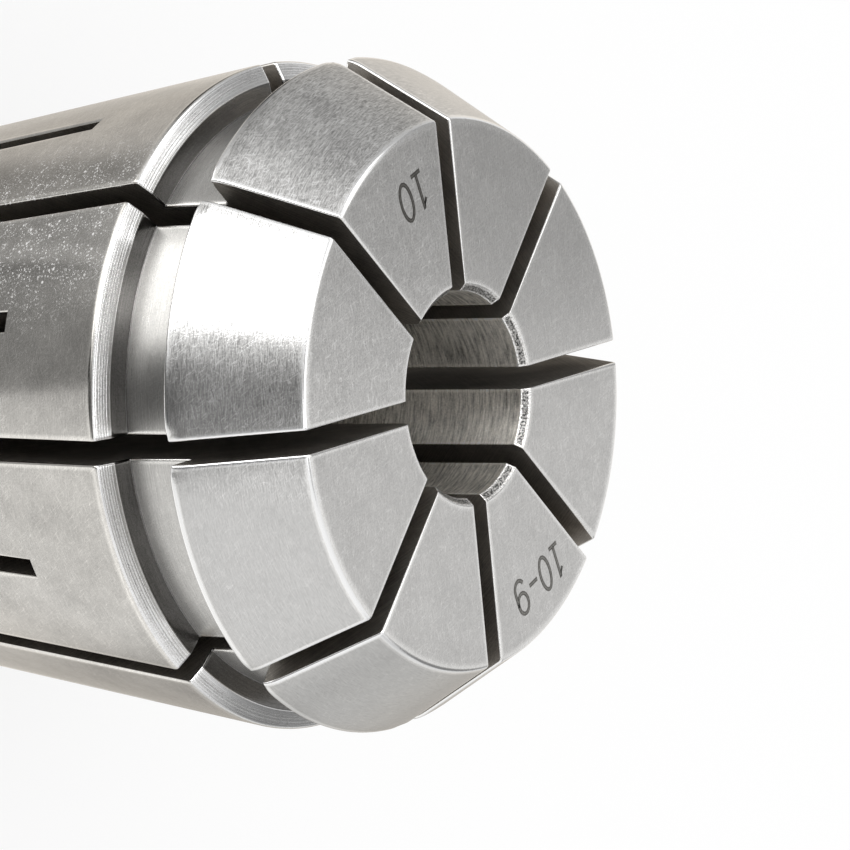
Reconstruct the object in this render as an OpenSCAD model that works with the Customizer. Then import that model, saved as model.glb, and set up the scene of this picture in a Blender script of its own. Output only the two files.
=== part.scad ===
// Spring collet for a round tool shank: one piece of hardened and ground steel.
// It stands on its small rear end, with its axis along +Z and the nose on top.
// From the rear: the long rear taper, a steep chamfer, the extraction groove, the
// nose cone with a blended band along its rear edge, and the front face. Slots cut
// by turns from the front and from the rear let the whole sleeve close round the
// shank like a folded spring. Their outer edges are broken by a small chamfer.

/* [Rear taper] */
// Length from the rear end to the front face
body_len = 40; // [34:0.5:60]
// Largest diameter, where the rear taper begins
body_d = 33; // [32:0.1:40]
// Angle between the rear taper and the axis
taper_angle = 8; // [3:0.5:14]
// Chamfer on the outer edge of the rear end
rear_chamfer = 0.5; // [0.1:0.05:1]

/* [Nose] */
// Diameter of the front face
face_d = 26.6; // [25:0.1:29]
// Length of the nose, from the front face back to the groove
nose_len = 5.8; // [5:0.1:8]
// Angle between the nose cone and the axis
nose_angle = 30; // [26:1:40]
// Radius that rounds the outer edge of the front face
face_edge_r = 0.2; // [0.05:0.05:0.4]
// Length of the blended band along the rear edge of the nose cone
band_len = 0.7; // [0.3:0.05:1.2]
// Angle between the band and the axis
band_angle = 24; // [16:1:25]
// Radius that rounds the rear edge of the nose
nose_edge_r = 0.15; // [0.05:0.05:0.3]

/* [Extraction groove] */
// Diameter of the floor of the groove
groove_d = 29.2; // [24:0.1:30]
// Width of the floor, from the nose back to the rear wall
groove_w = 3.65; // [2:0.05:8]
// Angle by which the rear wall leans back from square
wall_lean = 8; // [2:1:12]
// Radius in both corners of the floor
groove_root_r = 0.15; // [0.05:0.05:0.3]
// Diameter of the shoulder at the rear of the groove
shoulder_d = 31.2; // [30.4:0.1:31.9]
// Radius that blends the rear wall into the steep chamfer
shoulder_blend_r = 0.8; // [0.2:0.1:1]
// Length of the steep chamfer from the shoulder up to the largest diameter
shoulder_chamfer_len = 0.4; // [0.35:0.05:2]

/* [Bore] */
// Diameter of the bore while the collet is relaxed
bore_d = 10; // [6:0.1:20]
// Chamfer at both ends of the bore
bore_chamfer = 0.35; // [0.1:0.05:0.8]

/* [Slots] */
// Number of slots that are cut from each end
slot_count = 8; // [4:1:10]
// Width of the slots from the front
front_slot_w = 1.1; // [0.6:0.05:1.8]
// Width of the slots from the rear
rear_slot_w = 0.95; // [0.6:0.05:1.8]
// Chamfer that breaks the outer edges of every slot
slot_edge_break = 0.12; // [0.05:0.01:0.2]
// Length that is left whole behind the slots from the front
rear_web = 5; // [2:0.5:12]
// Length that is left whole ahead of the slots from the rear
front_web = 16.2; // [12:0.1:30]

/* [Hidden] */
$fn = 180;
steel = [0.72, 0.71, 0.69];
cut_past = 1;
body_r = body_d / 2;
bore_r = bore_d / 2;
face_r = face_d / 2;
groove_r = groove_d / 2;
shoulder_r = shoulder_d / 2;
face_z = body_len;
nose_rear_z = face_z - nose_len;
band_z = nose_rear_z + band_len;
band_r = face_r + (face_z - band_z) * tan(nose_angle);
nose_r = band_r + band_len * tan(band_angle);
nose_drop = atan2(nose_len, nose_r - face_r);
wall_foot_z = nose_rear_z - groove_w;
shoulder_z = wall_foot_z - (shoulder_r - groove_r) * tan(wall_lean);
taper_top_z = shoulder_z - shoulder_chamfer_len;
slot_pitch = 360 / slot_count;
slot_reach = max(body_r, nose_r) + cut_past;

// Direction in the half section, as an angle up from straight out
function heading(angle) = [cos(angle), sin(angle)];

// Unit vectors along the surfaces of the half section
cone_up = heading(90 + nose_angle);
band_up = heading(90 + band_angle);
wall_out = heading(-wall_lean);
chamfer_out = [body_r - shoulder_r, -shoulder_chamfer_len]
    / norm([body_r - shoulder_r, shoulder_chamfer_len]);

// Radius of the rear taper at a height above the rear end
function taper_r(z) = body_r - (taper_top_z - z) * tan(taper_angle);

// An arc of radius r touches two surfaces that leave a corner along the unit
// vectors side_a and side_b: half the angle between them, the arc's centre, and
// the place where it touches side_a
function half_angle(side_a, side_b) = acos(side_a * side_b) / 2;
function arc_centre(corner, side_a, side_b, r) =
    corner + (side_a + side_b) / norm(side_a + side_b) * r / sin(half_angle(side_a, side_b));
function arc_end(corner, side_a, side_b, r) =
    corner + side_a * r / tan(half_angle(side_a, side_b));

// Filled wedge of an inner corner, from one end of its arc by the centre to the other
function root_fill(corner, side_a, side_b) = [
    arc_end(corner, side_a, side_b, groove_root_r),
    arc_centre(corner, side_a, side_b, groove_root_r),
    arc_end(corner, side_b, side_a, groove_root_r)
];
rear_root = root_fill([groove_r, wall_foot_z], wall_out, heading(90));
front_root = root_fill([groove_r, nose_rear_z], heading(-90), heading(0));

// What an arc takes off an outer corner, with some room beyond the corner
module corner_waste(corner, side_a, side_b, r) {
    centre = arc_centre(corner, side_a, side_b, r);
    end_a = arc_end(corner, side_a, side_b, r);
    end_b = arc_end(corner, side_b, side_a, r);
    difference() {
        polygon([
            centre,
            end_a,
            end_a + (end_a - centre) / r * cut_past,
            corner + (corner - centre) / norm(corner - centre) * 2 * cut_past,
            end_b + (end_b - centre) / r * cut_past,
            end_b
        ]);
        translate(centre) circle(r = r);
    }
}

// Half section from the rear end up the outside and down the bore. Its outer
// corners are sharp, and both roots of the groove are filled in.
module rough_section() {
    polygon(concat(
        [
            [bore_r + bore_chamfer, 0],
            [taper_r(0) - rear_chamfer, 0],
            [taper_r(rear_chamfer), rear_chamfer],
            [body_r, taper_top_z],
            [shoulder_r, shoulder_z]
        ],
        rear_root,
        front_root,
        [
            [nose_r, nose_rear_z],
            [band_r, band_z],
            [face_r, face_z],
            [bore_r + bore_chamfer, face_z],
            [bore_r, face_z - bore_chamfer],
            [bore_r, bore_chamfer]
        ]
    ));
}

// Half section with its outer corners and the roots of the groove rounded
module half_section() {
    difference() {
        rough_section();
        translate(rear_root[1]) circle(r = groove_root_r);
        translate(front_root[1]) circle(r = groove_root_r);
        corner_waste([face_r, face_z], heading(180), -cone_up, face_edge_r);
        corner_waste([nose_r, nose_rear_z], heading(180), band_up, nose_edge_r);
        corner_waste([shoulder_r, shoulder_z], -wall_out, chamfer_out, shoulder_blend_r);
    }
}

// Square bar that lies on one of its edges in a slot and takes the corners off both
// sides. It follows a straight stretch of the outline, given by the point where it
// starts and the angle at which it drops from straight out.
module edge_bar(slot_w, start, drop, bar_len) {
    side = (slot_w / 2 + slot_edge_break + cut_past) * sqrt(2);
    translate([start[0], 0, start[1]])
        rotate([0, drop, 0])
            translate([-cut_past, 0, cut_past])
                rotate([45, 0, 0])
                    translate([0, -side / 2, -side / 2])
                        cube([bar_len + 2 * cut_past, side, side]);
}

// Slab from the axis out past the wall, between two heights
module slab(width, low_z, high_z) {
    translate([0, -width / 2, low_z])
        cube([slot_reach, width, high_z - low_z]);
}

// Edge breaks of one slot on the rear taper
module taper_breaks(slot_w, low_z, high_z) {
    intersection() {
        edge_bar(slot_w, [body_r, taper_top_z], 90 + taper_angle, face_z);
        slab(2 * slot_w, low_z, high_z);
    }
}

// One slot from the front, with its edges broken on the face, the nose and the taper
module front_slot() {
    slab(front_slot_w, rear_web, face_z + cut_past);
    edge_bar(front_slot_w, [0, face_z], 0, slot_reach);
    edge_bar(front_slot_w, [face_r, face_z], nose_drop, nose_len);
    taper_breaks(front_slot_w, rear_web, face_z);
}

// One slot from the rear, with its edges broken on the rear end and the taper
module rear_slot() {
    slab(rear_slot_w, -cut_past, face_z - front_web);
    edge_bar(rear_slot_w, [slot_reach, 0], 180, slot_reach);
    taper_breaks(rear_slot_w, -cut_past, face_z - front_web);
}

// The whole collet
module collet() {
    color(steel)
        difference() {
            rotate_extrude() half_section();
            for (i = [0:slot_count - 1]) {
                rotate(i * slot_pitch) front_slot();
                rotate((i + 0.5) * slot_pitch) rear_slot();
            }
        }
}

collet();
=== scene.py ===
"""Looks of a slotted spring collet: the sleeve with its ground, turned and sawn faces,
the numbers etched on the front face, and the stage that it stands on."""

import math
from collections import namedtuple
from typing import NamedTuple

import bpy
from mathutils import Matrix, Vector


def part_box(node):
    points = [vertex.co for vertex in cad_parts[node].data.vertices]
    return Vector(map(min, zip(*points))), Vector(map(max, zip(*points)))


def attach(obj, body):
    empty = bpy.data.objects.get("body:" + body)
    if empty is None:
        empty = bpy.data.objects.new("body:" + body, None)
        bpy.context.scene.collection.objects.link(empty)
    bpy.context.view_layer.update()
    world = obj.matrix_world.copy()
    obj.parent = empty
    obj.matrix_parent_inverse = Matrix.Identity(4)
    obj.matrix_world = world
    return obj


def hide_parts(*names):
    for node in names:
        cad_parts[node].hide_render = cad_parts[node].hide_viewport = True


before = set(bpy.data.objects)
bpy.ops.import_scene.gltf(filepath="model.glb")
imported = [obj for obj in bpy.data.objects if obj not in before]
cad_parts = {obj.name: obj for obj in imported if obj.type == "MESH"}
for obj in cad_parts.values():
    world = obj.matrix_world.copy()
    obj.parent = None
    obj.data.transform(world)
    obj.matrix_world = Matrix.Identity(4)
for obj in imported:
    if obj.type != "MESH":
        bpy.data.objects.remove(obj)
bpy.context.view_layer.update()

bl_info = {
    "name": "Spring Collet",
    "version": (1, 0, 0),
    "blender": (4, 5, 0),
    "location": "View3D > Sidebar > Collet",
    "description": "Ground steel spring collet with slots by turns from both ends",
    "category": "Add Mesh",
}

MM = 0.001
MICRON = 0.001 * MM
FACE_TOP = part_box("collet")[1].z

# Two places closer than a hair are the same place, and what is far from an edge is neither worn nor
# given a painted highlight.
HAIR = MICRON
FAR = 1.0

# A corner of the half section, with the finish of the stretch after it and the longest
# step between the rows there.
Corner = namedtuple("Corner", "r z rounding zone step")

# A ring of points, with the direction into the steel, how far it lies along the section
# and how far from the nearest sharp corner.
Row = namedtuple("Row", "r z inward_r inward_z zone travel corner_gap")

ZONES = ["rear", "taper", "chamfer", "wall", "groove", "nose", "face", "mouth", "bore", "slot"]


class SleeveSizes(bpy.types.PropertyGroup):
    """Sizes of the sleeve, as the CAD model has them"""

    body_radius: bpy.props.FloatProperty(
        name="Body radius", description="Largest radius of the rear taper",
        default=16.5 * MM, unit="LENGTH", precision=5)
    taper_angle: bpy.props.FloatProperty(
        name="Taper angle", description="Angle between the rear taper and the axis",
        default=math.radians(8), subtype="ANGLE")
    rear_chamfer: bpy.props.FloatProperty(
        name="Rear chamfer", description="Chamfer on the outer edge of the rear end",
        default=0.5 * MM, unit="LENGTH", precision=5)
    face_radius: bpy.props.FloatProperty(
        name="Face radius", description="Radius of the front face",
        default=13.3 * MM, unit="LENGTH", precision=5)
    nose_length: bpy.props.FloatProperty(
        name="Nose length", description="From the front face back to the groove",
        default=5.8 * MM, unit="LENGTH", precision=5)
    nose_angle: bpy.props.FloatProperty(
        name="Nose angle", description="Angle between the nose cone and the axis",
        default=math.radians(30), subtype="ANGLE")
    band_length: bpy.props.FloatProperty(
        name="Band length", description="Blended band along the rear edge of the nose",
        default=0.7 * MM, unit="LENGTH", precision=5)
    band_angle: bpy.props.FloatProperty(
        name="Band angle", description="Angle between the band and the axis",
        default=math.radians(24), subtype="ANGLE")
    groove_radius: bpy.props.FloatProperty(
        name="Groove radius", description="Radius of the floor of the groove",
        default=14.6 * MM, unit="LENGTH", precision=5)
    groove_width: bpy.props.FloatProperty(
        name="Groove width", description="Width of the floor of the groove",
        default=3.65 * MM, unit="LENGTH", precision=5)
    wall_lean: bpy.props.FloatProperty(
        name="Wall lean", description="Angle by which the rear wall of the groove leans back",
        default=math.radians(8), subtype="ANGLE")
    shoulder_radius: bpy.props.FloatProperty(
        name="Shoulder radius", description="Radius of the shoulder at the rear of the groove",
        default=15.6 * MM, unit="LENGTH", precision=5)
    chamfer_length: bpy.props.FloatProperty(
        name="Chamfer length", description="Steep chamfer from the shoulder to the body",
        default=0.4 * MM, unit="LENGTH", precision=5)
    bore_radius: bpy.props.FloatProperty(
        name="Bore radius", description="Radius of the bore",
        default=5 * MM, unit="LENGTH", precision=5)
    bore_chamfer: bpy.props.FloatProperty(
        name="Bore chamfer", description="Chamfer at both ends of the bore",
        default=0.35 * MM, unit="LENGTH", precision=5)
    slot_count: bpy.props.IntProperty(
        name="Slots", description="Number of slots from each end", default=8, min=3)
    front_slot_width: bpy.props.FloatProperty(
        name="Front slot width", description="Width of the slots from the front",
        default=1.1 * MM, unit="LENGTH", precision=5)
    rear_slot_width: bpy.props.FloatProperty(
        name="Rear slot width", description="Width of the slots from the rear",
        default=0.95 * MM, unit="LENGTH", precision=5)
    front_slot_end: bpy.props.FloatProperty(
        name="Front slot end", description="Height at which the slots from the front end",
        default=5 * MM, unit="LENGTH", precision=5)
    rear_slot_end: bpy.props.FloatProperty(
        name="Rear slot end", description="Height at which the slots from the rear end",
        default=23.8 * MM, unit="LENGTH", precision=5)
    slot_rounding: bpy.props.FloatProperty(
        name="Slot edge rounding", description="Radius of the broken edges of the slots",
        default=0.12 * MM, unit="LENGTH", precision=5)
    mouth_slot_rounding: bpy.props.FloatProperty(
        name="Bore edge rounding", description="Radius of the slots' edges in the bore",
        default=0.03 * MM, unit="LENGTH", precision=5)
    corner_dub: bpy.props.FloatProperty(
        name="Corner dub", description="How far grinding has dubbed the nose's rear corners",
        default=0.12 * MM, unit="LENGTH", precision=5)
    dub_reach: bpy.props.FloatProperty(
        name="Dub reach", description="How far a dubbed corner reaches over the surface",
        default=0.8 * MM, unit="LENGTH", precision=5)
    face_drop: bpy.props.FloatProperty(
        name="Face drop", description="How far the ground face lies below its etched numbers",
        default=0.006 * MM, unit="LENGTH", precision=6)


class MarkSizes(bpy.types.PropertyGroup):
    """Plain numbers etched on the front face"""

    size_text: bpy.props.StringProperty(
        name="Size", description="Bore size in millimetres", default="10")
    size_place: bpy.props.FloatVectorProperty(
        name="Place of the size", description="Middle of the size on the face",
        default=(3.10 * MM, -9.96 * MM), size=2, unit="LENGTH")
    size_height: bpy.props.FloatProperty(
        name="Height of the size", description="Height of its digits",
        default=2.0 * MM, unit="LENGTH", precision=5)
    range_text: bpy.props.StringProperty(
        name="Range", description="Largest and smallest shank in millimetres", default="10-9")
    range_place: bpy.props.FloatVectorProperty(
        name="Place of the range", description="Middle of the range on the face",
        default=(-4.45 * MM, 10.0 * MM), size=2, unit="LENGTH")
    range_height: bpy.props.FloatProperty(
        name="Height of the range", description="Height of its digits",
        default=1.9 * MM, unit="LENGTH", precision=5)
    heading: bpy.props.FloatProperty(
        name="Heading", description="Direction in which the numbers read, turned from +X",
        default=math.radians(18.5), subtype="ANGLE")
    advance: bpy.props.FloatProperty(
        name="Advance", description="From one sign to the next, as a share of the height",
        default=0.62)
    pen: bpy.props.FloatProperty(
        name="Pen", description="Width of a stroke", default=0.21 * MM, unit="LENGTH", precision=5)


class StageSizes(bpy.types.PropertyGroup):
    """Camera, light and floor"""

    target: bpy.props.FloatVectorProperty(
        name="Target", description="Point that the camera looks at",
        default=(0.252 * MM, 1.442 * MM, 37.385 * MM), subtype="XYZ", unit="LENGTH")
    distance: bpy.props.FloatProperty(
        name="Distance", description="From the camera to its target",
        default=212.87 * MM, unit="LENGTH")
    azimuth: bpy.props.FloatProperty(
        name="Azimuth", description="Side that the camera looks from, turned from +X",
        default=math.radians(-9.895), subtype="ANGLE")
    elevation: bpy.props.FloatProperty(
        name="Elevation", description="Angle of the camera above the level of its target",
        default=math.radians(34.84), subtype="ANGLE")
    top_heading: bpy.props.FloatProperty(
        name="Heading of the frame's top", description="Compass direction that is up in the frame",
        default=math.radians(-99.765), subtype="ANGLE")
    lens: bpy.props.FloatProperty(
        name="Lens", description="Focal length on a 36 mm sensor", default=185.97)
    floor_size: bpy.props.FloatProperty(
        name="Floor", description="Side of the floor", default=6.0, unit="LENGTH")
    floor_glow: bpy.props.FloatProperty(
        name="Floor glow", description="Share of the floor that is plain white light", default=0.6)
    world_light: bpy.props.FloatProperty(
        name="World light", description="Strength of the surroundings for matt things", default=1.05)


def unit(vector):
    """The same direction with a length of one."""
    return vector / vector.length


def section_corners(s):
    """Corners of the half section, from the rear mouth of the bore out, up and back down.

    Each has its rounding, the finish of the stretch that follows, and the longest step there.
    """
    top = FACE_TOP - s.face_drop
    mouth_r = s.bore_radius + s.bore_chamfer
    nose_rear = top - s.nose_length
    band_z = nose_rear + s.band_length
    band_r = s.face_radius + (top - band_z) * math.tan(s.nose_angle)
    nose_r = band_r + s.band_length * math.tan(s.band_angle)
    wall_foot = nose_rear - s.groove_width
    shoulder_z = wall_foot - (s.shoulder_radius - s.groove_radius) * math.tan(s.wall_lean)
    taper_top = shoulder_z - s.chamfer_length
    slope = math.tan(s.taper_angle)
    rear_r = s.body_radius - taper_top * slope
    fine, medium, coarse = 0.12 * MM, 0.8 * MM, 3 * MM
    return [
        Corner(s.bore_radius, s.bore_chamfer, 0.08 * MM, "rear", coarse),
        Corner(mouth_r, 0, 0.08 * MM, "rear", coarse),
        Corner(rear_r - s.rear_chamfer, 0, 0.15 * MM, "rear", coarse),
        Corner(rear_r + s.rear_chamfer * slope, s.rear_chamfer, 0.15 * MM, "taper", coarse),
        Corner(s.body_radius, taper_top, 0.22 * MM, "chamfer", coarse),
        Corner(s.shoulder_radius, shoulder_z, 0.8 * MM, "wall", coarse),
        Corner(s.groove_radius, wall_foot, 0.06 * MM, "groove", coarse),
        Corner(s.groove_radius, nose_rear, 0.15 * MM, "groove", fine),
        Corner(nose_r, nose_rear, 0.15 * MM, "nose", fine),
        Corner(band_r, band_z, 6 * MM, "nose", medium),
        Corner(s.face_radius, top, 0.28 * MM, "face", coarse),
        Corner(mouth_r, top, 0.15 * MM, "mouth", coarse),
        Corner(s.bore_radius, top - s.bore_chamfer, 0.05 * MM, "bore", coarse),
    ]


def stretch_stops(length, step, borders):
    """Places along a straight stretch: close to both corners, at the borders, and between them."""
    corner_gaps = (0.12 * MM, 0.35 * MM)
    stops = {0.0, length}
    for gap in corner_gaps:
        if gap < length / 2:
            stops.update((gap, length - gap))
    stops.update(border for border in borders if 0 < border < length)
    places = sorted(stops)
    filled = [places[0]]
    for low, high in zip(places, places[1:]):
        parts = max(1, math.ceil((high - low) / step))
        filled += [low + (high - low) * part / parts for part in range(1, parts + 1)]
    return filled


def section_rows(corners, heights):
    """Rows round the closed half section: five round each corner, then those along the stretch.

    A stretch that rises has rows at the given heights too.
    """
    arc_steps = 5
    sharp_turn = math.radians(15)
    rising = 0.9
    rows = []
    travel = 0.0
    count = len(corners)
    points = [Vector((corner.r, corner.z)) for corner in corners]
    ways = [unit(points[(i + 1) % count] - points[i]) for i in range(count)]
    turns = [-ways[i - 1].angle_signed(ways[i]) for i in range(count)]
    trims = [corner.rounding * math.tan(abs(turn) / 2) for corner, turn in zip(corners, turns)]
    for i, corner in enumerate(corners):
        way, before, after = ways[i], ways[i - 1], (i + 1) % count
        inward = Vector((-before.y, before.x))
        side = 1 if turns[i] > 0 else -1
        centre = points[i] - before * trims[i] + inward * corner.rounding * side
        arc_length = corner.rounding * abs(turns[i])
        for part in range(arc_steps):
            turned = Matrix.Rotation(turns[i] * part / arc_steps, 2) @ inward
            point = centre - turned * corner.rounding * side
            zone = corners[i - 1].zone if part < arc_steps / 2 or side < 0 else corner.zone
            rows.append(Row(point.x, point.y, turned.x, turned.y, zone,
                            travel + arc_length * part / arc_steps,
                            0.0 if turns[i] > sharp_turn else FAR))
        travel += arc_length
        inward = Vector((-way.y, way.x))
        start = points[i] + way * trims[i]
        length = (points[after] - points[i]).length - trims[i] - trims[after]
        borders = [(height - start.y) / way.y for height in heights] if abs(way.y) > rising else []
        for place in stretch_stops(length, corner.step, borders)[:-1]:
            point = start + way * place
            gap_before = place if turns[i] > sharp_turn else FAR
            gap_after = length - place if turns[after] > sharp_turn else FAR
            rows.append(Row(point.x, point.y, inward.x, inward.y, corner.zone,
                            travel + place, min(gap_before, gap_after)))
        travel += length
    return rows


class HalfFinger:
    """Mesh data of the sleeve between the middle of a front slot and that of a rear slot.

    Its points are kept by row, strip and column. Whole is the surface of the finger, the edges
    are the rounded edges of the slots, and the webs are what lies past the end of a slot.
    """

    arc_steps = 4
    web_steps = 3
    wear_and_highlight_reach = 0.14 * MM

    def __init__(self, s):
        self.s = s
        self.half_pitch = math.pi / s.slot_count
        self.ends = (s.front_slot_end, s.rear_slot_end)
        corners = section_corners(s)
        self.rows = section_rows(corners, self.ends)
        rear = next(corner for corner in corners if corner.zone == "nose")
        edge = min(self.rows, key=lambda row: abs(row.r - rear.r) + abs(row.z - rear.z))
        self.nose_edge = edge.travel
        self.points = []
        self.edge = []
        self.faces = []
        self.zones = []
        self.index = {}
        self.shares = self.column_shares()
        self.last = len(self.shares) - 1
        for number in range(len(self.rows)):
            self.add_row(number)
        for number in range(len(self.rows)):
            self.add_band(number, (number + 1) % len(self.rows))
        self.add_slot_walls()
        self.add_slot_floors()

    def column_shares(self):
        """Shares of the finger's width at which its columns stand, closer along the slots."""
        s = self.s
        from_front = (0, 0.1, 0.22, 0.36, 0.54, 0.8, 1.2)
        from_rear = (0.8, 0.4, 0.15, 0)
        gaps_between = 7
        first, last = self.margins(s.body_radius, s.slot_rounding)
        width = (last - first) * s.body_radius
        front = [offset * MM / width for offset in from_front]
        rear = [1 - offset * MM / width for offset in from_rear]
        span = rear[0] - front[-1]
        between = [front[-1] + span * part / gaps_between for part in range(1, gaps_between)]
        return front + between + rear

    def margins(self, r, rounding):
        """Angles between which the finger is whole at this radius."""
        s = self.s
        first = math.asin((s.front_slot_width / 2 + rounding) / r)
        last = self.half_pitch - math.asin((s.rear_slot_width / 2 + rounding) / r)
        return first, last

    def rounding_at(self, row):
        """Radius of the slots' edges on this row: smaller in the bore."""
        s = self.s
        share = (row.r - s.bore_radius) / (s.groove_radius - s.bore_radius)
        share = min(1, max(0, share))
        return s.mouth_slot_rounding + (s.slot_rounding - s.mouth_slot_rounding) * share

    def at_end(self, row):
        """Whether the row lies in the plane in which a slot ends."""
        return any(abs(row.z - end) < HAIR for end in self.ends)

    def put(self, key, row, angle, r, z, gap):
        """Add one point, with how close it lies to an edge that is worn and carries a painted
        highlight: one on it, and nought far off.
        """
        self.index[key] = len(self.points)
        self.points.append((r * math.cos(angle), r * math.sin(angle), z))
        self.edge.append(math.exp(-(min(gap, row.corner_gap) / self.wear_and_highlight_reach) ** 2))

    def dub(self, row, gap):
        """How far grinding has taken down a corner of the nose's rear edge."""
        s = self.s
        away = math.hypot(row.travel - self.nose_edge, gap)
        return s.corner_dub * max(0, 1 - away / s.dub_reach) ** 2

    def sink(self, row, depth):
        """Radius and height of a point below the surface, level where a slot ends."""
        if self.at_end(row):
            return row.r + depth * math.copysign(1, row.inward_r), row.z
        return row.r + depth * row.inward_r, row.z + depth * row.inward_z

    def add_row(self, number):
        """Points of one row: whole columns, rounded slot edges and what lies past the slots."""
        s = self.s
        row = self.rows[number]
        rounding = self.rounding_at(row)
        first, last = self.margins(row.r, rounding)
        for column, share in enumerate(self.shares):
            angle = first + (last - first) * share
            slot_gap = (angle - first) * row.r
            front_gap = FAR if row.z < s.front_slot_end else slot_gap
            rear_gap = (last - angle) * row.r if row.z < s.rear_slot_end else FAR
            r, z = self.sink(row, self.dub(row, slot_gap))
            self.put((number, "whole", column), row, angle, r, z, min(front_gap, rear_gap))
        for part in range(1, self.arc_steps + 1):
            turn = math.pi / 2 * part / self.arc_steps
            aside = rounding * (1 - math.sin(turn))
            depth = rounding * (1 - math.cos(turn))
            if row.z > s.front_slot_end - HAIR:
                r, z = self.sink(row, depth + self.dub(row, 0))
                angle = math.asin((s.front_slot_width / 2 + aside) / r)
                self.put((number, "front_edge", part), row, angle, r, z, 0)
            if row.z < s.rear_slot_end + HAIR:
                r, z = self.sink(row, depth)
                angle = self.half_pitch - math.asin((s.rear_slot_width / 2 + aside) / r)
                self.put((number, "rear_edge", part), row, angle, r, z, 0)
        for part in range(self.web_steps):
            if row.z < s.front_slot_end + HAIR:
                angle = first * part / self.web_steps
                self.put((number, "front_web", part), row, angle, row.r, row.z, FAR)
            if row.z > s.rear_slot_end - HAIR:
                angle = self.half_pitch - (self.half_pitch - last) * part / self.web_steps
                self.put((number, "rear_web", part), row, angle, row.r, row.z, FAR)
        self.index[number, "front_edge", 0] = self.index[number, "whole", 0]
        self.index[number, "rear_edge", 0] = self.index[number, "whole", self.last]
        self.index[number, "front_web", self.web_steps] = self.index[number, "whole", 0]
        self.index[number, "rear_web", self.web_steps] = self.index[number, "whole", self.last]

    def add_band(self, low, high):
        """Quads between two rows."""
        strips = (("whole", self.last, False),
                  ("front_web", self.web_steps, False), ("rear_web", self.web_steps, True),
                  ("front_edge", self.arc_steps, True), ("rear_edge", self.arc_steps, False))
        for name, count, backwards in strips:
            for column in range(count):
                near, far = (column + 1, column) if backwards else (column, column + 1)
                keys = [(low, name, near), (low, name, far), (high, name, far), (high, name, near)]
                if all(key in self.index for key in keys):
                    self.faces.append([self.index[key] for key in keys])
                    self.zones.append(ZONES.index(self.rows[low].zone))

    def add_flat(self, loop, zone):
        """One flat face."""
        self.faces.append(loop)
        self.zones.append(ZONES.index(zone))

    def chain(self, name):
        """The sawn edge of a slot, once round the section from its outer to its inner end."""
        count = len(self.rows)
        keys = [(number, name, self.arc_steps) for number in range(count)]
        there = [key in self.index for key in keys]
        start = next(i for i in range(count) if there[i] and not there[i - 1])
        ordered = [keys[(start + i) % count] for i in range(count)]
        return [self.index[key] for key in ordered if key in self.index]

    def add_slot_walls(self):
        """The flat sawn sides of both slots."""
        self.add_flat(self.chain("front_edge"), "slot")
        self.add_flat(self.chain("rear_edge")[::-1], "slot")

    def add_slot_floors(self):
        """The flat ends of both slots."""
        arc = range(self.arc_steps + 1)
        web = range(self.web_steps)
        for end, side in zip(self.ends, ("front", "rear")):
            rows = [i for i, row in enumerate(self.rows) if abs(row.z - end) < HAIR]
            outer = max(rows, key=lambda i: self.rows[i].r)
            inner = min(rows, key=lambda i: self.rows[i].r)
            loop = [(outer, side + "_web", part) for part in web]
            loop += [(outer, side + "_edge", part) for part in arc]
            loop += [(inner, side + "_edge", part) for part in reversed(arc)]
            loop += [(inner, side + "_web", part) for part in reversed(web)]
            self.add_flat([self.index[key] for key in loop], "slot")

    def mesh(self, name):
        """Blender mesh of the half finger, with its zones and its edges, which are worn and carry a
        painted highlight.
        """
        mesh = bpy.data.meshes.new(name)
        mesh.from_pydata(self.points, [], self.faces)
        zone = mesh.attributes.new("zone", "INT", "FACE")
        zone.data.foreach_set("value", self.zones)
        edge = mesh.attributes.new("edge", "FLOAT", "POINT")
        edge.data.foreach_set("value", self.edge)
        mesh.polygons.foreach_set("use_smooth", [True] * len(self.faces))
        mesh.update()
        return mesh


class NodeSheet:
    """A node tree with short calls for adding and joining its nodes."""

    def __init__(self, tree):
        self.tree = tree
        tree.nodes.clear()

    def feed(self, socket, value):
        """Link a socket or set its value."""
        if isinstance(value, bpy.types.NodeSocket):
            self.tree.links.new(value, socket)
        else:
            socket.default_value = value

    def add(self, kind, inputs=None, **settings):
        """Add a node, set it up and feed its inputs."""
        node = self.tree.nodes.new(kind)
        for name, value in settings.items():
            setattr(node, name, value)
        for name, value in (inputs or {}).items():
            self.feed(node.inputs[name], value)
        return node

    def maths(self, operation, a, b=0.0):
        """One step of arithmetic."""
        return self.add("ShaderNodeMath", {0: a, 1: b}, operation=operation).outputs[0]

    def times(self, a, b):
        """Product of two values."""
        return self.maths("MULTIPLY", a, b)

    def plus(self, a, b):
        """Sum of two values."""
        return self.maths("ADD", a, b)

    def minus(self, a, b):
        """What is left of the first value without the second."""
        return self.maths("SUBTRACT", a, b)

    def vector(self, operation, a, b=(0.0, 0.0, 0.0)):
        """One step of vector arithmetic."""
        node = self.add("ShaderNodeVectorMath", {0: a, 1: b}, operation=operation)
        return node.outputs["Value" if operation in ("LENGTH", "DOT_PRODUCT") else "Vector"]

    def scaled(self, a, b):
        """A vector or colour, times a vector or a value."""
        return self.vector("MULTIPLY", a, b)

    def remap(self, value, low, high, to_low=0.0, to_high=1.0):
        """Spread a value from one range to another, and hold it there."""
        return self.add("ShaderNodeMapRange", {
            "Value": value, "From Min": low, "From Max": high,
            "To Min": to_low, "To Max": to_high}).outputs["Result"]

    def noise(self, vector, detail=2.0, roughness=0.5, scale=1.0):
        """Smooth noise from 0 to 1."""
        inputs = {"Vector": vector, "Scale": scale, "Detail": detail, "Roughness": roughness}
        return self.add("ShaderNodeTexNoise", inputs).outputs["Fac"]


def new_material(name):
    """A material without nodes, and the sheet to draw them on."""
    material = bpy.data.materials.new(name)
    material.use_nodes = True
    return material, NodeSheet(material.node_tree)


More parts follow.
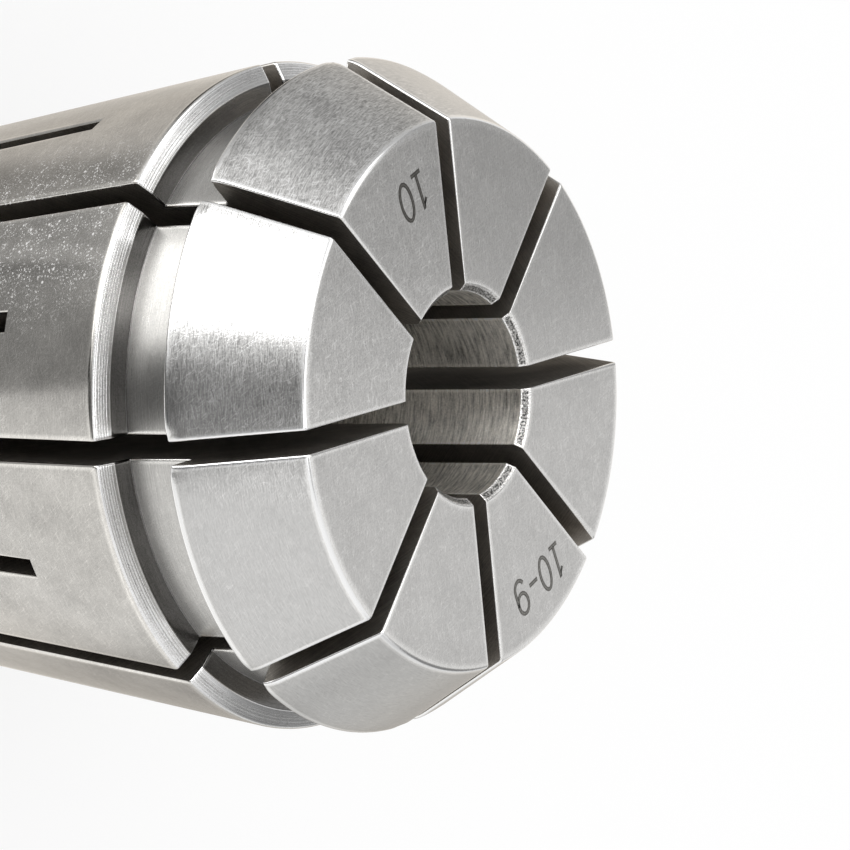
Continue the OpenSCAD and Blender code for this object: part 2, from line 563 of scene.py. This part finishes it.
def ring_tree(materials):
    """Nodes that mirror the half finger, set it round the axis and give each zone its finish."""
    tree = bpy.data.node_groups.new("collet_ring", "GeometryNodeTree")
    tree.interface.new_socket("Geometry", in_out="INPUT", socket_type="NodeSocketGeometry")
    count = tree.interface.new_socket("Slots", in_out="INPUT", socket_type="NodeSocketInt")
    weld = tree.interface.new_socket("Weld distance", in_out="INPUT", socket_type="NodeSocketFloat")
    tree.interface.new_socket("Geometry", in_out="OUTPUT", socket_type="NodeSocketGeometry")
    sheet = NodeSheet(tree)
    source = sheet.add("NodeGroupInput")
    mirror = sheet.add("GeometryNodeTransform", {
        "Geometry": source.outputs["Geometry"], "Scale": (1, -1, 1)})
    flip = sheet.add("GeometryNodeFlipFaces", {"Mesh": mirror.outputs[0]})
    finger = sheet.add("GeometryNodeJoinGeometry")
    tree.links.new(flip.outputs[0], finger.inputs[0])
    tree.links.new(source.outputs["Geometry"], finger.inputs[0])
    points = sheet.add("GeometryNodePoints", {"Count": source.outputs["Slots"]})
    index = sheet.add("GeometryNodeInputIndex").outputs[0]
    share = sheet.maths("DIVIDE", index, source.outputs["Slots"])
    turn = sheet.add("ShaderNodeCombineXYZ", {"Z": sheet.times(share, 2 * math.pi)})
    ring = sheet.add("GeometryNodeInstanceOnPoints", {
        "Points": points.outputs[0], "Instance": finger.outputs[0], "Rotation": turn.outputs[0]})
    real = sheet.add("GeometryNodeRealizeInstances", {"Geometry": ring.outputs[0]})
    last = sheet.add("GeometryNodeMergeByDistance", {
        "Geometry": real.outputs[0], "Distance": source.outputs["Weld distance"]})
    zone = sheet.add("GeometryNodeInputNamedAttribute", {"Name": "zone"}, data_type="INT")
    for number, name in enumerate(ZONES):
        same = sheet.add("FunctionNodeCompare", data_type="INT", operation="EQUAL")
        tree.links.new(zone.outputs["Attribute"], same.inputs[2])
        same.inputs[3].default_value = number
        paint = sheet.add("GeometryNodeSetMaterial", {
            "Geometry": last.outputs[0], "Selection": same.outputs[0], "Material": materials[name]})
        last = paint
    output = sheet.add("NodeGroupOutput")
    tree.links.new(last.outputs[0], output.inputs["Geometry"])
    return tree, count.identifier, weld.identifier


class Finish(NamedTuple):
    """How one zone is finished: sizes in millimetres, heights of bumps in micrometres."""

    # Colour and roughness of the bare steel
    tone: tuple = (0.6, 0.593, 0.58)
    rough: float = 0.28
    # Lay of the grain, and 1 for a cone that widens upwards or -1 for one that narrows
    lay: str = "round"
    slope: float = 1.0
    # How far the lay spreads the shine across itself
    brush: float = 0.4
    # Grain: its size across the lay and along it, how far it changes the tone, its height
    grain: tuple = (0.04, 1.5)
    grain_tone: float = 0.10
    relief: float = 0.6
    # The same for the grit, which has no lay
    grit: float = 0.07
    grit_tone: float = 0.10
    grit_relief: float = 0.5
    # How much large patches and scratches change the tone, and the amount of dust and painted glints
    mottle: float = 0.06
    scratch: float = 0.25
    dust_and_glints: float = 0.0
    # Height of the ridges that the turning tool left; ridges also get painted light and shade
    ridge: float = 0.0
    # How much brighter the edges are, partly from wear and partly as a painted highlight, and the edge
    # value where that begins
    rim: float = 0.45
    wear_and_highlight_start: float = 0.2
    # How bright the mirror stays at a grazing view
    graze: float = 1.0
    # How much stronger the changes of tone are round one place
    tone_boost: float = 0.0


FINISHES = {
    "rear": Finish(grain=(0.05, 4.0)),
    "taper": Finish(
        tone=(0.50, 0.487, 0.465), rough=0.16, brush=0.0, grain=(0.04, 0.5), relief=0.8,
        grit_tone=0.15, grit_relief=1.1, mottle=0.13, scratch=0.4, dust_and_glints=1.0),
    # The chamfer's light tone is a painted highlight: it is the same steel, made brighter.
    "chamfer": Finish(
        tone=(0.80, 0.795, 0.79), rough=0.26, slope=-1.0, brush=0.5, grain=(0.07, 9.0),
        grain_tone=0.30, relief=4.0, grit_tone=0.25, mottle=0.08, scratch=0.3, ridge=1.4, rim=0.15),
    # The wall's dark tone is painted shade.
    "wall": Finish(
        tone=(0.17, 0.166, 0.162), rough=0.24, slope=-1.0, grain=(0.06, 4.0), grain_tone=0.25,
        relief=1.5, grit_tone=0.3, rim=0.1),
    "groove": Finish(
        tone=(0.58, 0.572, 0.555), rough=0.30, brush=0.75, grain=(0.04, 2.5), grit_tone=0.12,
        mottle=0.05),
    "nose": Finish(
        tone=(0.585, 0.58, 0.57), rough=0.22, slope=-1.0, brush=0.7, grain=(0.07, 0.55),
        grain_tone=0.09, relief=4.0, grit=0.11, grit_tone=0.038, grit_relief=3.0, mottle=0.03,
        scratch=0.2, rim=0.7, tone_boost=4.6),
    "face": Finish(
        rough=0.30, lay="straight", brush=0.0, grain=(0.04, 0.6), relief=0.3, grit_tone=0.12,
        grit_relief=0.4, mottle=0.05, scratch=0.35, rim=0.4, tone_boost=0.7),
    # The mouth's strong rim is a painted highlight along its edges, partly wear.
    "mouth": Finish(
        tone=(0.27, 0.265, 0.257), rough=0.32, brush=0.0, grain=(0.13, 0.3), grain_tone=1.3,
        relief=30.0, grit=0.09, grit_tone=1.2, rim=2.0, wear_and_highlight_start=0.66),
    "bore": Finish(
        tone=(0.58, 0.557, 0.515), rough=0.48, brush=0.7, grain=(0.16, 3.0), grain_tone=0.60,
        relief=20.0, grit=0.1, grit_tone=0.2, mottle=0.15),
    # The dark tone and dim grazing shine of the sawn sides are painted shade of the deep, narrow
    # slots.
    "slot": Finish(
        tone=(0.28, 0.262, 0.24), rough=0.5, brush=0.0, grain=(0.06, 0.8), grain_tone=0.4,
        relief=5.0, grit_tone=0.3, mottle=0.4, scratch=0.0, graze=0.2),
}

# Direction in which the face was ground. The rest is in millimetres: the radius at which
# lengths round the axis are true, the middle of the dust and painted glints, and the middle of the
# stronger changes of tone.
GRIND_HEADING = math.radians(80.2)
MEAN_RADIUS = 14.0
DUST_AND_GLINT_PLACE = (12.4, -10.6, 24.5)
TONE_BOOST_PLACE = (10.3, -10.3, 37.4)

# Noise swings about a half, mostly between these two.
NOISE_LOW, NOISE_HIGH = 0.3, 0.7


def millimetres(sheet):
    """The place on the object, in millimetres."""
    metres = sheet.add("ShaderNodeTexCoord").outputs["Object"]
    return sheet.scaled(metres, (1 / MM,) * 3)


def surface_place(sheet, place, finish):
    """Flat coordinates in millimetres: along the lay first, and across it second."""
    if finish.lay == "straight":
        turned = sheet.add("ShaderNodeVectorRotate", {"Vector": place, "Angle": -GRIND_HEADING},
                           rotation_type="Z_AXIS")
        return turned.outputs[0]
    parts = sheet.add("ShaderNodeSeparateXYZ", {0: place})
    around = sheet.maths("ARCTAN2", parts.outputs["Y"], parts.outputs["X"])
    around = sheet.times(around, MEAN_RADIUS)
    radius = sheet.vector("LENGTH", sheet.scaled(place, (1.0, 1.0, 0.0)))
    leaning = sheet.times(radius, finish.slope)
    section = sheet.plus(parts.outputs["Z"], leaning)
    return sheet.add("ShaderNodeCombineXYZ", {"X": around, "Y": section}).outputs[0]


def scratches(sheet, flat, turn, length, width, seed):
    """Thin scratches in one direction: one on them, nought elsewhere."""
    rare, sure = 0.62, 0.68
    turned = sheet.add("ShaderNodeVectorRotate", {"Vector": flat, "Angle": math.radians(turn)},
                       rotation_type="Z_AXIS").outputs[0]
    drawn = sheet.scaled(turned, (1 / length, 1 / width, 0.0))
    drawn = sheet.vector("ADD", drawn, (seed, seed, seed))
    return sheet.remap(sheet.noise(drawn, detail=1.0, roughness=0.5), rare, sure)


def squiggles(sheet, place, size, width, seed):
    """Short curling hairlines: one on them, nought elsewhere.

    They follow the middle value of a noise, in the pieces where it is above a second value.
    """
    core = 0.4
    piece_scale, rare, sure = 1.9, 0.55, 0.60
    moved = sheet.vector("ADD", place, (seed, 2 * seed, seed))
    field = sheet.noise(moved, detail=1.0, roughness=0.5, scale=1 / size)
    away = sheet.maths("ABSOLUTE", sheet.minus(field, 0.5))
    line = sheet.remap(away, width, core * width)
    pieces = sheet.remap(sheet.noise(moved, 1.0, 0.5, scale=piece_scale / size), rare, sure)
    return sheet.times(line, pieces)


def dust_and_glint_specks(sheet, place, size, share):
    """Specks that lie at random, dust and painted glints: one on them, nought elsewhere."""
    rim, core = 0.42, 0.22
    softness = 0.02
    cells = sheet.add("ShaderNodeTexVoronoi", {
        "Vector": place, "Scale": 1 / size, "Randomness": 1.0})
    luck = sheet.add("ShaderNodeSeparateColor", {0: cells.outputs["Color"]})
    chosen = sheet.remap(luck.outputs["Red"], 1 - share, 1 - share + softness)
    round_spot = sheet.remap(cells.outputs["Distance"], rim, core)
    return sheet.times(chosen, round_spot)


def patches(sheet, place, scale, rare, sure, least=0.0, most=1.0, detail=3.0):
    """Cloudy patches: the least where the noise is below one value, the most above another."""
    return sheet.remap(sheet.noise(place, detail, 0.6, scale), rare, sure, least, most)


def dust_and_glint_cover(sheet, place, amount):
    """Fine and coarse specks of dust and painted glints, and short fibres of dust, thickest round one
    place.
    """
    thick_reach, thin_reach = 3.0, 6.2
    thin_share, fibre_share = 0.15, 0.7
    stretch = (1.0, 1.0, 0.6)
    thin = patches(sheet, place, scale=0.22, rare=0.42, sure=0.60)
    away = sheet.vector("SUBTRACT", place, DUST_AND_GLINT_PLACE)
    away = sheet.vector("LENGTH", sheet.scaled(away, stretch))
    cover = sheet.plus(sheet.times(thin, thin_share), sheet.remap(away, thin_reach, thick_reach))
    clumps = patches(sheet, place, scale=1.1, rare=0.40, sure=0.58, least=0.25)
    fine = sheet.maths("MAXIMUM", dust_and_glint_specks(sheet, place, size=0.11, share=0.40),
                       dust_and_glint_specks(sheet, place, size=0.15, share=0.25))
    film = patches(sheet, place, scale=17.0, rare=0.52, sure=0.64, most=0.35, detail=2.0)
    fine = sheet.times(sheet.maths("MAXIMUM", fine, film), clumps)
    fibres = squiggles(sheet, place, size=1.3, width=0.007, seed=11.0)
    coarse = sheet.maths("MAXIMUM", dust_and_glint_specks(sheet, place, size=0.24, share=0.06),
                         sheet.times(fibres, fibre_share))
    dust_and_glints = sheet.times(sheet.maths("MAXIMUM", fine, coarse), amount)
    return sheet.times(sheet.maths("MINIMUM", cover, 1.0), dust_and_glints)


def layer(sheet, level, pattern, amount):
    """Raise and lower a level by a pattern that swings about a half."""
    change = sheet.remap(pattern, NOISE_LOW, NOISE_HIGH, -amount, amount)
    return sheet.plus(level, change)


def steel_level(sheet, place, flat, finish, grain, grit, rim):
    """Brightness of the steel: one where it is plain."""
    mottle = sheet.noise(place, 4.0, 0.6, scale=0.45)
    level = layer(sheet, 1.0, grain, finish.grain_tone)
    level = layer(sheet, level, grit, finish.grit_tone)
    level = layer(sheet, level, mottle, finish.mottle)
    if finish.scratch:
        brightest_mark = 0.5 * finish.scratch
        marks = squiggles(sheet, place, size=0.7, width=0.012, seed=3.0)
        for number, turn in enumerate((62, -24, 8)):
            lines = scratches(sheet, flat, turn, length=1.0, width=0.05, seed=7.0 * number)
            marks = sheet.plus(marks, lines)
        level = sheet.plus(level, sheet.times(marks, brightest_mark))
    if finish.tone_boost:
        weak_reach, full_reach = 14.0, 9.0
        away = sheet.vector("LENGTH", sheet.vector("SUBTRACT", place, TONE_BOOST_PLACE))
        more = sheet.remap(away, weak_reach, full_reach, 1.0, 1.0 + finish.tone_boost)
        change = sheet.times(sheet.minus(level, 1.0), more)
        level = sheet.plus(change, 1.0)
    # Brighter edges: partly wear, partly painted highlight.
    return sheet.plus(level, sheet.times(rim, finish.rim))


def ridge_wave(sheet, flat, grain):
    """Ridges left by the turning tool, made uneven by a second wave and by the grain."""
    pitch = 0.18
    waver = 2.5
    second_rate, second_share = 1.73, 0.7
    section = sheet.add("ShaderNodeSeparateXYZ", {0: flat}).outputs["Y"]
    turns = sheet.times(section, 2 * math.pi / pitch)
    turns = sheet.plus(turns, sheet.times(grain, waver))
    second = sheet.maths("SINE", sheet.times(turns, second_rate))
    second = sheet.times(second, second_share)
    return sheet.plus(sheet.maths("SINE", turns), second)


def steel(name, finish):
    """Hardened steel in layers: the lay of its grain, grit, mottling, scratches, dust with painted
    glints, and rims that are partly wear and partly painted highlight.
    """
    darkest, brightest = 0.1, 0.92
    rim_full = 0.85
    grain_rough, rim_smooth = 0.05, 0.06
    ridge_dark, ridge_bright, ridge_peak = 0.90, 1.07, 1.4
    dust_and_glint_tone = (0.80, 0.79, 0.78)
    quarter_turn = 0.25
    material, sheet = new_material(name)
    place = millimetres(sheet)
    flat = surface_place(sheet, place, finish)
    across, along = finish.grain
    stretched = sheet.scaled(flat, (1 / along, 1 / across, 0.0))
    grain = sheet.noise(stretched, 3.0, 0.6)
    grit = sheet.noise(place, 2.0, 0.6, scale=1 / finish.grit)
    edge = sheet.add("ShaderNodeAttribute", attribute_name="edge").outputs["Fac"]
    rim = sheet.remap(edge, finish.wear_and_highlight_start, rim_full)
    level = steel_level(sheet, place, flat, finish, grain, grit, rim)
    colour = sheet.scaled(finish.tone, sheet.maths("MAXIMUM", level, darkest))
    colour = sheet.vector("MINIMUM", colour, (brightest,) * 3)
    rough = layer(sheet, finish.rough, grain, -grain_rough)
    rough = sheet.minus(rough, sheet.times(rim, rim_smooth))
    height = sheet.plus(sheet.times(grain, finish.relief), sheet.times(grit, finish.grit_relief))
    if finish.ridge:
        wave = ridge_wave(sheet, flat, grain)
        height = sheet.plus(height, sheet.times(wave, finish.ridge))
        # Painted light and shade of the ridges: lighter on their crests, darker in their hollows.
        shine = sheet.remap(wave, -ridge_peak, ridge_peak, ridge_dark, ridge_bright)
        colour = sheet.scaled(colour, shine)
    bump = sheet.add("ShaderNodeBump", {"Strength": 1.0, "Distance": MICRON, "Height": height})
    metal = 1.0
    if finish.dust_and_glints:
        # Matt white specks: dust, and painted glints of the grain.
        dust_and_glints = dust_and_glint_cover(sheet, place, finish.dust_and_glints)
        metal = sheet.minus(1.0, dust_and_glints)
        colour = sheet.add("ShaderNodeMix", {"Factor": dust_and_glints, "A": colour, "B": dust_and_glint_tone},
                           data_type="VECTOR").outputs["Result"]
    shader = sheet.add("ShaderNodeBsdfPrincipled", {
        "Base Color": colour, "Roughness": rough, "Metallic": metal,
        "Specular Tint": (finish.graze,) * 3 + (1.0,), "Normal": bump.outputs[0]})
    if finish.brush:
        around = sheet.vector("CROSS_PRODUCT", (0.0, 0.0, 1.0), place)
        along_lay = sheet.add("ShaderNodeVectorTransform", {"Vector": around}, vector_type="VECTOR",
                              convert_from="OBJECT", convert_to="WORLD").outputs[0]
        sheet.feed(shader.inputs["Tangent"], along_lay)
        sheet.feed(shader.inputs["Anisotropic"], finish.brush)
        sheet.feed(shader.inputs["Anisotropic Rotation"], quarter_turn)
    sheet.add("ShaderNodeOutputMaterial", {"Surface": shader.outputs[0]})
    return material


def new_object(name, mesh):
    """An object of this mesh in the scene."""
    item = bpy.data.objects.new(name, mesh)
    bpy.context.scene.collection.objects.link(item)
    return item


class COLLET_OT_sleeve(bpy.types.Operator):
    """Build the slotted sleeve from one half finger, set round the axis"""

    bl_idname = "collet.sleeve"
    bl_label = "Sleeve"

    def execute(self, context):
        sizes = context.scene.collet_sleeve
        materials = {zone: steel("steel_" + zone, FINISHES[zone]) for zone in ZONES}
        sharp = math.radians(40)
        sleeve = new_object("sleeve", HalfFinger(sizes).mesh("half_finger"))
        tree, count_socket, weld_socket = ring_tree(materials)
        ring = sleeve.modifiers.new("ring", "NODES")
        ring.node_group = tree
        ring[count_socket] = sizes.slot_count
        ring[weld_socket] = HAIR
        graph = context.evaluated_depsgraph_get()
        whole = bpy.data.meshes.new_from_object(
            sleeve.evaluated_get(graph), preserve_all_data_layers=True, depsgraph=graph)
        sleeve.modifiers.remove(ring)
        sleeve.data = whole
        whole.set_sharp_from_angle(angle=sharp)
        even = sleeve.modifiers.new("even_normals", "WEIGHTED_NORMAL")
        even.keep_sharp = True
        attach(sleeve, "root")
        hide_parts("collet")
        return {"FINISHED"}


def number_strokes(sign):
    """Strokes of a plain number, in a box one high: each a list of points that its pen follows."""
    width, low, high = 0.56, 0.04, 0.96
    middle = 0.5 * width
    half = middle - 0.05
    right = middle + half

    def oval(centre, half_height, start, end):
        steps = 20
        turns = [math.radians(start + (end - start) * step / steps) for step in range(steps + 1)]
        return [(middle + half * math.cos(turn), centre + half_height * math.sin(turn))
                for turn in turns]

    return {
        "1": [[(0.12, 0.72), (middle, high), (middle, low)], [(0.08, low), (width - 0.08, low)]],
        "0": [oval(0.5, 0.46, 0, 360)],
        "9": [oval(0.68, 0.28, 0, 360), [(right, 0.68), (right, 0.40)] + oval(0.32, 0.28, 0, -150)],
        "-": [[(0.06, 0.42), (width - 0.10, 0.42)]],
    }[sign]


def stroke_mesh(strokes, pen, top, low):
    """Closed flat ribbons along strokes, between two heights."""
    points, faces = [], []
    for stroke in strokes:
        path = [Vector(point) for point in stroke]
        first = len(points)
        closed = (path[0] - path[-1]).length < HAIR
        for i, point in enumerate(path):
            before = path[max(i - 1, 0)]
            after = path[min(i + 1, len(path) - 1)]
            if closed and i in (0, len(path) - 1):
                before, after = path[-2], path[1]
            along = unit(after - before)
            aside = Vector((-along.y, along.x)) * pen / 2
            for height in (top, low):
                points += [(*(point + aside), height), (*(point - aside), height)]
        for i in range(first, len(points) - 4, 4):
            left, right, low_left, low_right = range(i, i + 4)
            faces += [[left, right, right + 4, left + 4],
                      [low_left, low_left + 4, low_right + 4, low_right],
                      [left, left + 4, low_left + 4, low_left],
                      [right, low_right, low_right + 4, right + 4]]
        last = len(points) - 4
        faces += [[first, first + 2, first + 3, first + 1], [last, last + 1, last + 3, last + 2]]
    return points, faces


def etched(name, tone, rough):
    """Steel darkened unevenly by etching."""
    material, sheet = new_material(name)
    faint, strong = 0.6, 1.4
    cloud = sheet.noise(millimetres(sheet), detail=3.0, roughness=0.7, scale=9.0)
    uneven = sheet.remap(cloud, NOISE_LOW, NOISE_HIGH, faint, strong)
    colour = sheet.scaled(tone, uneven)
    shader = sheet.add("ShaderNodeBsdfPrincipled", {
        "Base Color": colour, "Roughness": rough, "Metallic": 1.0})
    sheet.add("ShaderNodeOutputMaterial", {"Surface": shader.outputs[0]})
    return material


class COLLET_OT_marks(bpy.types.Operator):
    """Etch the plain numbers on the front face: the bore size and the range that it grips"""

    bl_idname = "collet.marks"
    bl_label = "Numbers"

    def execute(self, context):
        sizes = context.scene.collet_marks
        dark = etched("etched_dark", (0.075, 0.07, 0.065), 0.5)
        grey = etched("etched_grey", (0.15, 0.145, 0.135), 0.5)
        light = etched("etched_light", (0.24, 0.235, 0.22), 0.45)
        self.add_number("size_number", sizes.size_text, sizes.size_place, sizes.size_height,
                        sizes, (dark, grey))
        self.add_number("range_number", sizes.range_text, sizes.range_place, sizes.range_height,
                        sizes, (grey, light))
        return {"FINISHED"}

    def add_number(self, name, text, place, height, sizes, materials):
        """One number, its signs side by side: each stroke has a lighter middle."""
        middle_share = 0.36
        proud = bpy.context.scene.collet_sleeve.face_drop
        step, rooted = proud / 3, 3 * proud
        advance = sizes.advance * height
        turn = Matrix.Rotation(sizes.heading, 2)
        layers = ((sizes.pen, FACE_TOP - step), (sizes.pen * middle_share, FACE_TOP))
        points, faces, looks = [], [], []
        for number, sign in enumerate(text):
            left = (number - len(text) / 2) * advance
            strokes = [[Vector(place) + turn @ Vector((left + x * height, (y - 0.5) * height))
                        for x, y in stroke] for stroke in number_strokes(sign)]
            for look, (pen, high) in enumerate(layers):
                more_points, more_faces = stroke_mesh(strokes, pen, high, high - rooted)
                faces += [[corner + len(points) for corner in face] for face in more_faces]
                looks += [look] * len(more_faces)
                points += more_points
        mesh = bpy.data.meshes.new(name)
        mesh.from_pydata(points, [], faces)
        for material in materials:
            mesh.materials.append(material)
        mesh.polygons.foreach_set("material_index", looks)
        mark = new_object(name, mesh)
        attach(mark, "root")


# A soft glow or shade in the surroundings: where it stands, the angles from its middle
# at which it is full and at which it ends, and how much it adds to the plain light.
Glow = namedtuple("Glow", "azimuth elevation full end strength")

PLAIN_LIGHT = 0.86
DARKEST_LIGHT = 0.03
GLOWS = (
    # Two lamps that the near side of the nose mirrors
    Glow(-50, 14, 16.2, 20.8, 3.00),
    Glow(-47, 42, 4, 8.5, 10.00),
    # Light and shade below the level, which the groove and the taper mirror
    Glow(-43, -24, 15.5, 19.5, 0.95),
    Glow(-64, -30, 8.5, 13.5, 0.80),
    Glow(-12, -29, 9.5, 14.5, -0.78),
    Glow(-7, -8, 9, 15, -0.60),
    Glow(-31, -48, 12.8, 15.3, -0.50),
    Glow(-72, -46, 8, 19, -0.42),
    Glow(-95, -20, 14, 24, -0.33),
    Glow(-116, -26, 6, 16, -0.50),
    Glow(-115, -48, 12, 26, -0.16),
    Glow(40, -50, 18, 36, 0.20),
    # Lamps overhead and at the side
    Glow(-126, 64, 13, 19, 1.00),
    Glow(-12, 77, 9, 16, 1.30),
    Glow(-107, 31, 6, 13, 2.20),
    # Fainter light and shade, mostly above the level
    Glow(98, 18, 8, 16, -0.30),
    Glow(121, -7, 8, 18, 0.15),
    Glow(8, 43, 9, 15, 0.55),
    Glow(-18, 56, 7, 13, -0.50),
    Glow(26, 56, 7, 13, -0.50),
    Glow(163, 34, 3, 8, -0.20),
    Glow(132, 24, 10, 23, -0.66),
    # Wide ones
    Glow(60, 8, 20, 60, 0.12),
    Glow(-4, 15, 11, 24, -0.66),
    Glow(-118, 0, 6, 36, -0.36),
    Glow(115, -28, 10, 44, -0.33),
)


def way_of(azimuth, elevation):
    """Direction at this azimuth and elevation in degrees."""
    turn, rise = math.radians(azimuth), math.radians(elevation)
    level = math.cos(rise)
    return Vector((level * math.cos(turn), level * math.sin(turn), math.sin(rise)))


def surroundings(sheet, way):
    """Brightness of the studio in one direction, as the steel mirrors it."""
    total = PLAIN_LIGHT
    for glow in GLOWS:
        close = sheet.vector("DOT_PRODUCT", way, tuple(way_of(glow.azimuth, glow.elevation)))
        end, full = math.cos(math.radians(glow.end)), math.cos(math.radians(glow.full))
        share = sheet.add("ShaderNodeMapRange", {
            "Value": close, "From Min": end, "From Max": full, "To Max": glow.strength},
            interpolation_type="SMOOTHSTEP").outputs["Result"]
        total = sheet.plus(share, total)
    return sheet.maths("MAXIMUM", total, DARKEST_LIGHT)


def add_card(name, corners, tone):
    """A plain card that only the steel mirrors."""
    mesh = bpy.data.meshes.new(name)
    mesh.from_pydata(corners, [], [list(range(len(corners)))])
    card = new_object(name, mesh)
    material, sheet = new_material(name)
    light = sheet.add("ShaderNodeEmission", {"Color": (tone, tone, tone, 1.0), "Strength": 1.0})
    sheet.add("ShaderNodeOutputMaterial", {"Surface": light.outputs[0]})
    mesh.materials.append(material)
    card.visible_camera = False
    card.visible_diffuse = False
    card.visible_shadow = False
    card.visible_transmission = False


def seen_or_through(sheet, path):
    """One for rays from the camera and through glass, and nought for the rest."""
    return sheet.maths("MAXIMUM", path.outputs["Is Camera Ray"], path.outputs["Is Transmission Ray"])


class COLLET_OT_stage(bpy.types.Operator):
    """Set up the camera, the light, a grey card and the floor"""

    bl_idname = "collet.stage"
    bl_label = "Stage"

    def execute(self, context):
        stage = context.scene.collet_stage
        self.add_camera(context, stage)
        self.add_floor(stage)
        self.add_world(context, stage)
        grey = 0.36
        back, low, high, near, far = -90 * MM, 66 * MM, 150 * MM, 9 * MM, -120 * MM
        corners = [(back, near, low), (back, far, low), (back, far, high), (back, near, high)]
        add_card("grey_card", corners, grey)
        context.scene.view_settings.view_transform = "Standard"
        return {"FINISHED"}

    def add_camera(self, context, stage):
        """Camera at the photograph's place, turned so that the nose points right."""
        data = bpy.data.cameras.new("camera")
        data.lens = stage.lens
        data.sensor_width = 36
        data.clip_start = 10 * MM
        camera = bpy.data.objects.new("camera", data)
        context.scene.collection.objects.link(camera)
        back = way_of(math.degrees(stage.azimuth), math.degrees(stage.elevation))
        up = Vector((math.cos(stage.top_heading), math.sin(stage.top_heading), 0))
        side = unit(up.cross(back))
        up = back.cross(side)
        turned = Matrix((side, up, back)).transposed().to_4x4()
        camera.matrix_world = Matrix.Translation(Vector(stage.target) + back * stage.distance) @ turned
        context.scene.camera = camera

    def add_floor(self, stage):
        """Plain white floor that keeps a faint shadow. The steel mirrors the studio in it."""
        nose_height = 35 * MM
        matt_white = (0.95, 0.95, 0.95, 1.0)
        warm_way = (-0.6, 0.0, -0.8)
        warm_from, warm_full = 0.4, 0.8
        faint_tint, warm_tint = (1.0, 0.995, 0.98), (1.0, 0.94, 0.86)
        half = stage.floor_size / 2
        mesh = bpy.data.meshes.new("floor")
        mesh.from_pydata([(-half, -half, 0), (half, -half, 0), (half, half, 0), (-half, half, 0)],
                         [], [[0, 1, 2, 3]])
        floor = new_object("floor", mesh)
        material, sheet = new_material("floor_white")
        path = sheet.add("ShaderNodeLightPath")
        place = sheet.add("ShaderNodeTexCoord").outputs["Object"]
        way = sheet.vector("NORMALIZE", sheet.vector("SUBTRACT", place, (0, 0, nose_height)))
        matt = sheet.add("ShaderNodeBsdfDiffuse", {"Color": matt_white})
        white = sheet.add("ShaderNodeEmission", {"Strength": 1.0})
        seen = sheet.times(seen_or_through(sheet, path), stage.floor_glow)
        plain = sheet.add("ShaderNodeMixShader", {0: seen, 1: matt.outputs[0], 2: white.outputs[0]})
        behind = sheet.vector("DOT_PRODUCT", way, warm_way)
        tint = sheet.add("ShaderNodeMix", {
            "Factor": sheet.remap(behind, warm_from, warm_full), "A": faint_tint, "B": warm_tint},
            data_type="VECTOR").outputs["Result"]
        mirrored = sheet.add("ShaderNodeEmission", {
            "Color": tint, "Strength": surroundings(sheet, way)})
        floor_look = sheet.add("ShaderNodeMixShader", {
            0: path.outputs["Is Glossy Ray"], 1: plain.outputs[0], 2: mirrored.outputs[0]})
        sheet.add("ShaderNodeOutputMaterial", {"Surface": floor_look.outputs[0]})
        mesh.materials.append(material)

    def add_world(self, context, stage):
        """White surroundings for the camera, and a studio of soft glows for the steel."""
        world = bpy.data.worlds.new("surroundings")
        context.scene.world = world
        world.use_nodes = True
        sheet = NodeSheet(world.node_tree)
        path = sheet.add("ShaderNodeLightPath")
        way = sheet.add("ShaderNodeTexCoord").outputs["Generated"]
        plain = sheet.remap(seen_or_through(sheet, path), 0.0, 1.0, stage.world_light, 1.0)
        strength = sheet.add("ShaderNodeMix", {
            "Factor": path.outputs["Is Glossy Ray"], "A": plain, "B": surroundings(sheet, way)})
        light = sheet.add("ShaderNodeBackground", {
            "Color": (1.0, 1.0, 1.0, 1.0), "Strength": strength.outputs["Result"]})
        sheet.add("ShaderNodeOutputWorld", {"Surface": light.outputs[0]})


class COLLET_PT_panel(bpy.types.Panel):
    """Sizes and build buttons in the sidebar"""

    bl_label = "Spring Collet"
    bl_idname = "COLLET_PT_panel"
    bl_space_type = "VIEW_3D"
    bl_region_type = "UI"
    bl_category = "Collet"

    def draw(self, context):
        scene = context.scene
        for group in (scene.collet_sleeve, scene.collet_marks, scene.collet_stage):
            box = self.layout.box()
            for name in group.__annotations__:
                box.prop(group, name)
        for operator in OPERATORS:
            self.layout.operator(operator.bl_idname)


OPERATORS = (COLLET_OT_sleeve, COLLET_OT_marks, COLLET_OT_stage)
CLASSES = (SleeveSizes, MarkSizes, StageSizes) + OPERATORS + (COLLET_PT_panel,)


def register():
    """Add the classes and their settings."""
    for item in CLASSES:
        bpy.utils.register_class(item)
    bpy.types.Scene.collet_sleeve = bpy.props.PointerProperty(type=SleeveSizes)
    bpy.types.Scene.collet_marks = bpy.props.PointerProperty(type=MarkSizes)
    bpy.types.Scene.collet_stage = bpy.props.PointerProperty(type=StageSizes)


def unregister():
    """Take the classes and their settings away."""
    del bpy.types.Scene.collet_stage
    del bpy.types.Scene.collet_marks
    del bpy.types.Scene.collet_sleeve
    for item in reversed(CLASSES):
        bpy.utils.unregister_class(item)


def main():
    """Build everything in order."""
    register()
    bpy.ops.collet.sleeve()
    bpy.ops.collet.marks()
    bpy.ops.collet.stage()


if __name__ == "__main__":
    main()
